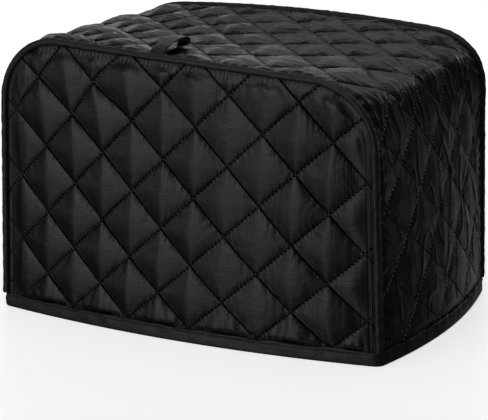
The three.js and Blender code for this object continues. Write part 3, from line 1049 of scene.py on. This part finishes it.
def seam_group():
    """A groove along each seam: its depth falls off with the distance to the nearest whole count. Its width
    swells and shrinks once a stitch, by a sine wave along the seam, more on the seams that rise to the
    right."""
    group, start, end = new_group(
        "Quilt seam", [("Vector", "Vector", None), ("Width", "Float", 0.024)], ["Height", "Mask", "Pucker"])
    split = add_node(group, "SeparateXYZ", Vector=start.outputs["Vector"])
    total = math_node(group, "ADD", split.outputs[0], split.outputs[1])
    apart = math_node(group, "SUBTRACT", split.outputs[0], split.outputs[1])
    shares, puckers = [], []
    for count, along, swing in ((total, apart, RISING_SWING), (apart, total, FALLING_SWING)):
        half = math_node(group, "MULTIPLY", count, 0.5)
        past = math_node(group, "SUBTRACT", half, math_node(group, "ROUND", half))
        gap = math_node(group, "ABSOLUTE", past)
        beat = math_node(group, "SINE", math_node(group, "MULTIPLY", along, STITCHES_PER_COUNT * TURN))
        wider = math_node(group, "MULTIPLY_ADD", beat, swing, 1.0)
        width = math_node(group, "MULTIPLY", start.outputs["Width"], wider)
        shares.append(math_node(group, "DIVIDE", gap, width, clamp=True))
        fade = math_node(group, "SUBTRACT", 1.0, math_node(group, "DIVIDE", gap, PUCKER_REACH), clamp=True)
        puckers.append(math_node(group, "MULTIPLY", math_node(group, "MULTIPLY", beat, swing), fade))
    share = math_node(group, "MINIMUM", *shares)
    cut = math_node(group, "SUBTRACT", 1.0, math_node(group, "POWER", share, 2.0), clamp=True)
    both = math_node(group, "SUBTRACT", 1.0, math_node(group, "MAXIMUM", *shares), clamp=True)
    # the mask marks where the colour is darkened as painted shade in the groove; where two seams cross it is
    # lowered, which leaves a lighter speck
    mask = math_node(group, "SUBTRACT", cut, math_node(group, "MULTIPLY", both, 0.8), clamp=True)
    feed(group, end.inputs["Height"], share)
    feed(group, end.inputs["Mask"], mask)
    feed(group, end.inputs["Pucker"], math_node(group, "ADD", *puckers))
    return group


def pucker_group():
    """Short puckers that run in from a sewn edge: waves along the edge, one a stitch, that fade inwards. A
    noise makes some long and some short."""
    group, start, end = new_group(
        "Edge puckers", [("Vector", "Vector", None), ("Reach", "Float", 0.055)], ["Height"])
    place = start.outputs["Vector"]
    split = add_node(group, "SeparateXYZ", Vector=place)
    chance = add_node(group, "TexNoise", Vector=place, Scale=14, Detail=1).outputs[0]
    turns = math_node(group, "MULTIPLY", split.outputs[0], TURN * MM_PER_UV / STITCH_PITCH)
    phase = math_node(group, "MULTIPLY_ADD", chance, 9.0, turns)
    reach = math_node(group, "MULTIPLY", start.outputs["Reach"], math_node(group, "MULTIPLY", chance, 2.0))
    fade = math_node(group, "SUBTRACT", 1.0, math_node(group, "DIVIDE", split.outputs[1], reach), clamp=True)
    feed(group, end.inputs["Height"], math_node(group, "MULTIPLY", math_node(group, "SINE", phase), fade))
    return group


SEAM = seam_group()
PUCKER = pucker_group()
print("nodes in the seam and the puckers:", len(SEAM.nodes), len(PUCKER.nodes))

# %% [markdown]
# ## Fine creases
#
# Worn cloth carries thin creases that catch the light as short bright lines. They could be sculpted, but
# they are thinner than the grid's steps, so they are a bump too: raised lines where a stretched noise
# passes through its middle value.

# %% Crease group
CREASE_STRETCH = (2.6, 11.0, 1.0)
CREASE_TILT = (0, 0, 0.12)
CREASE_WIDTH = 0.035


def crease_group():
    """Thin raised lines, long in the first direction: 1 in the middle of a line, falling evenly to 0 at its
    width, with the top rounded off."""
    group, start, end = new_group(
        "Fine creases", [("Vector", "Vector", None), ("Fine", "Float", 1.0)], ["Height"])
    stretch = add_node(group, "Mapping", Vector=start.outputs["Vector"],
                       Scale=CREASE_STRETCH, Rotation=CREASE_TILT)
    field = add_node(group, "TexNoise", Vector=stretch.outputs[0], Scale=start.outputs["Fine"],
                     Detail=2.0, Roughness=0.4, Distortion=0.5)
    off = math_node(group, "ABSOLUTE", math_node(group, "SUBTRACT", field.outputs[0], 0.5))
    line = math_node(group, "SUBTRACT", 1.0, math_node(group, "DIVIDE", off, CREASE_WIDTH), clamp=True)
    feed(group, end.inputs["Height"], math_node(group, "SMOOTH_MIN", line, 0.8, 0.3))
    return group


CREASE = crease_group()
print("nodes in the creases:", len(CREASE.nodes))

# %% [markdown]
# ## Cloth
#
# The cloth is a close black polyester with a soft gloss. It could be one flat black, but then only the
# largest folds would show. Here the groups give heights and tones, bumps turn the heights into a normal,
# from soft folds down to the weave, and the material's own shader takes the colour, the roughness and the
# normal. The quilted cloth and the plain tapes share one function. The hanging band is creased more than
# the panels.

# %% Reading the groups
def read_map(tree, layer):
    """The place on one of the maps stored with the mesh."""
    node = tree.nodes.new("ShaderNodeUVMap")
    node.uv_map = layer
    return node.outputs[0]


def add_group(tree, group, layer, **values):
    """A group that takes its place from one of those maps."""
    node = add_node(tree, "Group")
    node.node_tree = group
    for title, value in (("Vector", read_map(tree, layer)), *values.items()):
        feed(tree, node.inputs[title], value)
    return node


def bump(tree, height, distance, below, strength=1.0):
    """The normal that a height gives to the normal below it. distance is in metres for a height of 1."""
    node = add_node(tree, "Bump", Strength=strength, Distance=distance, Height=height)
    if below is not None:
        tree.links.new(below, node.inputs["Normal"])
    return node.outputs[0]


def new_material(name):
    """An empty material, its node tree and its shader."""
    material = bpy.data.materials.new(name)
    material.use_nodes = True
    return material, material.node_tree, material.node_tree.nodes["Principled BSDF"]


print("groups to read:", [group.name for group in bpy.data.node_groups])

# %% Folds and seams in the normal
FOLD_STRETCH = (1.0, 1.0, 1.6)
CALM_FROM = 1.3
CALM_TO = 1.8
CALM_SHARE = 0.3
FINER = 2.3
FINER_SHARE = 0.45
GROOVE_DEPTH = 0.0010
SEAM_PUCKER_DEPTH = 0.00022
EDGE_PUCKER_DEPTH = 0.00014
WEAVE_DEPTH = 0.00006
STREAK_DEPTH = 0.00012


def folded(tree, wrinkle_depth, crease_depth):
    """The normal of soft folds with two sizes of crease on them. The creases fall to 0.3 of their height
    from 130 to 180 mm off the middle, where the band turns down to a side."""
    place = add_node(tree, "TexCoord")
    stretch = add_node(tree, "Mapping", Vector=place.outputs["Object"], Scale=FOLD_STRETCH)
    fold = add_node(tree, "TexNoise", Vector=stretch.outputs[0], Scale=95, Detail=4,
                    Roughness=0.55, Distortion=0.6)
    normal = bump(tree, fold.outputs[0], wrinkle_depth, None)
    apart = add_node(tree, "SeparateXYZ", Vector=read_map(tree, "cloth"))
    off_middle = math_node(tree, "ABSOLUTE", apart.outputs[0])
    calm = add_node(tree, "MapRange", Value=off_middle, From_Min=CALM_FROM, From_Max=CALM_TO,
                    To_Min=1.0, To_Max=CALM_SHARE)
    for fine, depth in ((1.0, crease_depth), (FINER, crease_depth * FINER_SHARE)):
        crease = add_group(tree, CREASE, "cloth", Fine=fine)
        height = math_node(tree, "MULTIPLY", crease.outputs["Height"], calm.outputs[0])
        normal = bump(tree, height, depth, normal)
    return normal


def sewn(tree, seam, normal):
    """The normal with the grooves of the quilting, the puckers beside them and those at the sewn edges."""
    normal = bump(tree, seam.outputs["Height"], GROOVE_DEPTH, normal)
    normal = bump(tree, seam.outputs["Pucker"], SEAM_PUCKER_DEPTH, normal)
    drawn = add_group(tree, PUCKER, "edge")
    return bump(tree, drawn.outputs["Height"], EDGE_PUCKER_DEPTH, normal)


print("depths in metres, groove and weave:", GROOVE_DEPTH, WEAVE_DEPTH)

# %% Cloth materials
# painted shade: the near-black colour the quilting's grooves are darkened to, where shade falls
PAINTED_GROOVE_SHADE = (0.0015, 0.0015, 0.0016, 1)
SHEEN_TINT = (0.75, 0.78, 0.85, 1)


def cloth_material(name, dark, light, rough, thread, gloss, sheen, quilted, wrinkle_depth, crease_depth):
    """Woven cloth. dark and light are the two ends of its colour, rough the range of its roughness, and
    thread the width of its threads in mm. In the grooves of the quilting its colour is darkened as painted
    shade, and it is duller and without gloss."""
    material, tree, shader = new_material(name)
    weave = add_group(tree, WEAVE, "cloth", Thread=thread)
    shade = mix_colour(tree, weave.outputs["Tone"], (*dark, 1), (*light, 1))
    worn = add_node(tree, "MapRange", Value=weave.outputs["Tone"], To_Min=rough[0], To_Max=rough[1])
    roughness = worn.outputs[0]
    normal = folded(tree, wrinkle_depth, crease_depth)
    if quilted:
        seam = add_group(tree, SEAM, "seams")
        normal = sewn(tree, seam, normal)
        dull_and_shaded = seam.outputs["Mask"]
        # painted shade: the seam mask darkens the colour in the grooves; it also makes them rough and
        # without gloss
        shade = mix_colour(tree, dull_and_shaded, shade, PAINTED_GROOVE_SHADE)
        roughness = math_node(tree, "MAXIMUM", roughness, dull_and_shaded)
        gloss = math_node(tree, "MULTIPLY", math_node(tree, "SUBTRACT", 1.0, dull_and_shaded), gloss)
    normal = bump(tree, weave.outputs["Height"], WEAVE_DEPTH, normal, strength=0.35)
    normal = bump(tree, weave.outputs["Streak"], STREAK_DEPTH, normal)
    looks = {
        "Base Color": shade, "Roughness": roughness, "Specular IOR Level": gloss, "Normal": normal,
        "Sheen Weight": sheen, "Sheen Roughness": 0.35, "Sheen Tint": SHEEN_TINT,
    }
    for title, value in looks.items():
        feed(tree, shader.inputs[title], value)
    return material


quilted_look = {
    "dark": (0.002, 0.002, 0.0022), "light": (0.006, 0.006, 0.0065), "thread": 0.45,
    "gloss": 0.4, "sheen": 0.02, "quilted": True, "wrinkle_depth": 0.0002,
}
tape_look = {"thread": 0.6, "quilted": False, "wrinkle_depth": 0.0004, "crease_depth": 0.0001}
QUILTED = cloth_material("Black quilted cloth", rough=(0.29, 0.38), crease_depth=0.00005, **quilted_look)
HANGING = cloth_material("Black quilted cloth, creased", rough=(0.24, 0.34), crease_depth=0.00018,
                         **quilted_look)
TAPE = cloth_material("Black trim tape", (0.003, 0.003, 0.0032), (0.009, 0.009, 0.0095),
                      rough=(0.26, 0.36), gloss=0.40, sheen=0.02, **tape_look)
BINDING_TAPE = cloth_material("Black binding tape", (0.006, 0.006, 0.0065), (0.02, 0.02, 0.021),
                              rough=(0.38, 0.52), gloss=0.42, sheen=0.05, **tape_look)
print("cloth materials:", [cloth.name for cloth in (QUILTED, HANGING, TAPE, BINDING_TAPE)])

# %% [markdown]
# ## Thread
#
# The stitches are a twisted black thread. A twist could be modelled on each, but a stitch is only about
# three pixels long in the picture, so a fine noise in the roughness does. The band's thread is given a
# lighter grey, painted light, so that the stitches on the side show as pale, lit dots.

# %% Thread materials
TWIST_SCALE = 900
THREAD_BLUE = 1.03


def thread_material(name, shade):
    """A nearly even grey whose roughness goes from 0.3 to 0.55 with a fine noise."""
    material, tree, shader = new_material(name)
    place = add_node(tree, "TexCoord")
    twist = add_node(tree, "TexNoise", Vector=place.outputs["Object"], Scale=TWIST_SCALE)
    worn = add_node(tree, "MapRange", Value=twist.outputs[0], To_Min=0.3, To_Max=0.55)
    feed(tree, shader.inputs["Roughness"], worn.outputs[0])
    feed(tree, shader.inputs["Base Color"], (shade, shade, shade * THREAD_BLUE, 1))
    return material


THREAD = thread_material("Black thread", 0.05)
# painted light: the same black thread in a lighter grey, so the band's stitches read as lit
PAINTED_LIGHT_THREAD = thread_material("Black thread, lighter", 0.22)
print("thread materials:", THREAD.name, "and", PAINTED_LIGHT_THREAD.name)

# %% [markdown]
# ## Each piece takes its finish and its place
#
# Each fine piece stands for one imported node, which it hides, and takes its material and its place under
# the cover's body. Each call also names the slot of the record its finish belongs to: the slots could be
# guessed from the looks, but two looks share the slot of the tape. Nothing reads these slots.

# %% Dressing
def dress(piece, material, slot, *nodes):
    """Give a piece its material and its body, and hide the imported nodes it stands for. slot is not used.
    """
    piece.data.materials.append(material)
    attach(piece, "root")
    if nodes:
        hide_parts(*nodes)


dress(front, QUILTED, "quilted_cloth", "front_panel")
dress(back, QUILTED, "quilted_cloth", "back_panel")
dress(band, HANGING, "quilted_cloth", "gusset_band")
dress(piping_front, BINDING_TAPE, "trim_tape", "piping_front")
dress(piping_back, BINDING_TAPE, "trim_tape", "piping_back")
dress(binding, BINDING_TAPE, "trim_tape", "hem_binding")
dress(loop, TAPE, "trim_tape", "hang_loop")
for threads in (threads_front, threads_back, threads_hem):
    dress(threads, THREAD, "trim_tape")
dress(threads_band, PAINTED_LIGHT_THREAD, "trim_tape")

# %% [markdown]
# ## Floor
#
# The cover stands on a pale floor, as in a product picture. A plain white floor would light the dark
# cloth from below and turn it grey. So the floor is white for the camera alone. For all other rays it is
# a dull grey mirror, which gives the cloth a second, lower set of softboxes.

# %% Floor
FLOOR_HALF = 6.0
FLOOR_GREY = (0.5, 0.5, 0.5, 1)
FLOOR_WHITE = (0.92, 0.92, 0.92, 1)
FLOOR_GLOW = 0.66


def floor_piece():
    """A square whose shader asks whether a ray comes from the camera: 1 gives white that glows a little,
    and 0 gives grey metal."""
    corners = np.array([(-1, -1, 0), (1, -1, 0), (1, 1, 0), (-1, 1, 0)]) * FLOOR_HALF
    mesh = bpy.data.meshes.new("floor")
    mesh.from_pydata(corners.tolist(), [], [(0, 1, 2, 3)])
    material, tree, shader = new_material("Pale floor")
    seen = add_node(tree, "LightPath").outputs["Is Camera Ray"]
    looks = {
        "Base Color": mix_colour(tree, seen, FLOOR_GREY, FLOOR_WHITE), "Roughness": 0.3,
        "Metallic": math_node(tree, "SUBTRACT", 1.0, seen), "Emission Color": (1, 1, 1, 1),
        "Emission Strength": math_node(tree, "MULTIPLY", seen, FLOOR_GLOW),
    }
    for title, value in looks.items():
        feed(tree, shader.inputs[title], value)
    mesh.materials.append(material)
    floor = add_object("floor", mesh)
    return floor


floor = floor_piece()
print("floor: %.0f m square" % (2 * FLOOR_HALF))

# %% [markdown]
# ## Lights
#
# Black cloth shows its shape by what it mirrors, so the lights are broad softboxes set where the folds
# can mirror them. A picture of a studio wrapped round the scene could light it too, but its lights could
# not be moved one by one. A softbox in front, a little to the left, gives the two slopes of each diamond
# their two tones. A small one at the left lights the left slopes. A wide one behind, a thin low strip and
# a small one at the right give the top its pale folds and its thin bright rims, and one overhead fills
# the rest.

# %% Softboxes
MIDDLE = np.array((0, 0, 0.1))
SOFTBOXES = {
    # azimuth and elevation in degrees, then distance, width and height in m, then watts
    "front softbox": (-15, 15, 1.8, 1.05, 1.1, 6.1),
    "left softbox": (-52, 6, 1.8, 0.5, 0.3, 0.8),
    "back softbox": (208, 31, 2.0, 2.2, 0.75, 2.7),
    "low back light": (196, 6, 1.9, 2.2, 0.1, 2.0),
    "right back softbox": (164, 22, 2.0, 0.6, 0.5, 0.9),
    "top softbox": (10, 80, 2.2, 2.2, 2.2, 12),
}


def looking_back(azimuth, elevation):
    """Right, up and backwards for a thing that looks inwards from an azimuth, turned from the front towards
    +X, and an elevation, both in degrees. Up is the cross product of backwards and right."""
    a, e = math.radians(azimuth), math.radians(elevation)
    backwards = np.array((math.sin(a) * math.cos(e), -math.cos(a) * math.cos(e), math.sin(e)))
    right = np.array((math.cos(a), math.sin(a), 0.0))
    return right, np.cross(backwards, right), backwards


def set_axes(thing, right, up, backwards, place):
    """Turn and place a light or a camera: the four vectors are the columns of its matrix."""
    rows = np.eye(4)
    rows[:3] = np.stack([right, up, backwards, place], axis=1)
    thing.matrix_world = Matrix(rows.tolist())


def soft_light(name, azimuth, elevation, distance, width, height, power):
    """An area light that looks at the middle of the cover."""
    data = bpy.data.lights.new(name, "AREA")
    data.shape = "RECTANGLE"
    data.size, data.size_y, data.energy = width, height, power
    right, up, backwards = looking_back(azimuth, elevation)
    set_axes(add_object(name, data), right, up, backwards, MIDDLE + distance * backwards)


for name, setting in SOFTBOXES.items():
    soft_light(name, *setting)
print("softboxes:", ", ".join(SOFTBOXES))

# %% [markdown]
# ## The surround
#
# The picture's surround is white, but a white room would wash the black cloth out. As with the floor,
# only the camera sees the full white, and the cloth gets a twentieth of it.

# %% Surround
ROOM_LIGHT = 0.05

world = bpy.data.worlds.new("white surround")
bpy.context.scene.world = world
world.use_nodes = True
room = world.node_tree
seen = add_node(room, "LightPath").outputs["Is Camera Ray"]
strength = add_node(room, "MapRange", Value=seen, To_Min=ROOM_LIGHT, To_Max=1.0)
feed(room, room.nodes["Background"].inputs["Strength"], strength.outputs[0])
feed(room, room.nodes["Background"].inputs["Color"], (1, 1, 1, 1))
bpy.context.scene.view_settings.view_transform = "Standard"
print("surround for all but the camera: %.2f of white" % ROOM_LIGHT)

# %% [markdown]
# ## Camera
#
# The cover was photographed from the right of the front and a little above, with a long lens. A camera
# can be set by eye, but a few pixels of error would hide whether the shape is right. So its angles, its
# focal length and its shift were fitted to the corners and seams seen in the photo, and stand here as
# measures.

# %% Camera
CAMERA_AZIMUTH = 27.366
CAMERA_ELEVATION = 15.336
CAMERA_ROLL = -0.429
CAMERA_DISTANCE = 1.71996
CAMERA_TARGET = np.array((-0.0013, 0.002, 0.1))
FOCAL_PIXELS = 2343.57
SHIFT_PIXELS = (-0.508, -43.353)
PHOTO_WIDTH = 488
SENSOR_WIDTH = 36


def photo_camera():
    """A camera that looks at the target from the photo's angle. It is rolled by turning right and up about
    the line of sight, and its lens is the focal length in widths of the photo, times the sensor's width."""
    right, up, backwards = looking_back(CAMERA_AZIMUTH, CAMERA_ELEVATION)
    r = math.radians(CAMERA_ROLL)
    right, up = math.cos(r) * right + math.sin(r) * up, -math.sin(r) * right + math.cos(r) * up
    data = bpy.data.cameras.new("photo camera")
    data.sensor_width = SENSOR_WIDTH
    data.lens = FOCAL_PIXELS / PHOTO_WIDTH * SENSOR_WIDTH
    data.shift_x, data.shift_y = (pixels / PHOTO_WIDTH for pixels in SHIFT_PIXELS)
    data.clip_end = 50
    camera = add_object("photo camera", data)
    set_axes(camera, right, up, backwards, CAMERA_TARGET + CAMERA_DISTANCE * backwards)
    print("lens: %.1f mm" % data.lens)
    return camera


bpy.context.scene.camera = photo_camera()
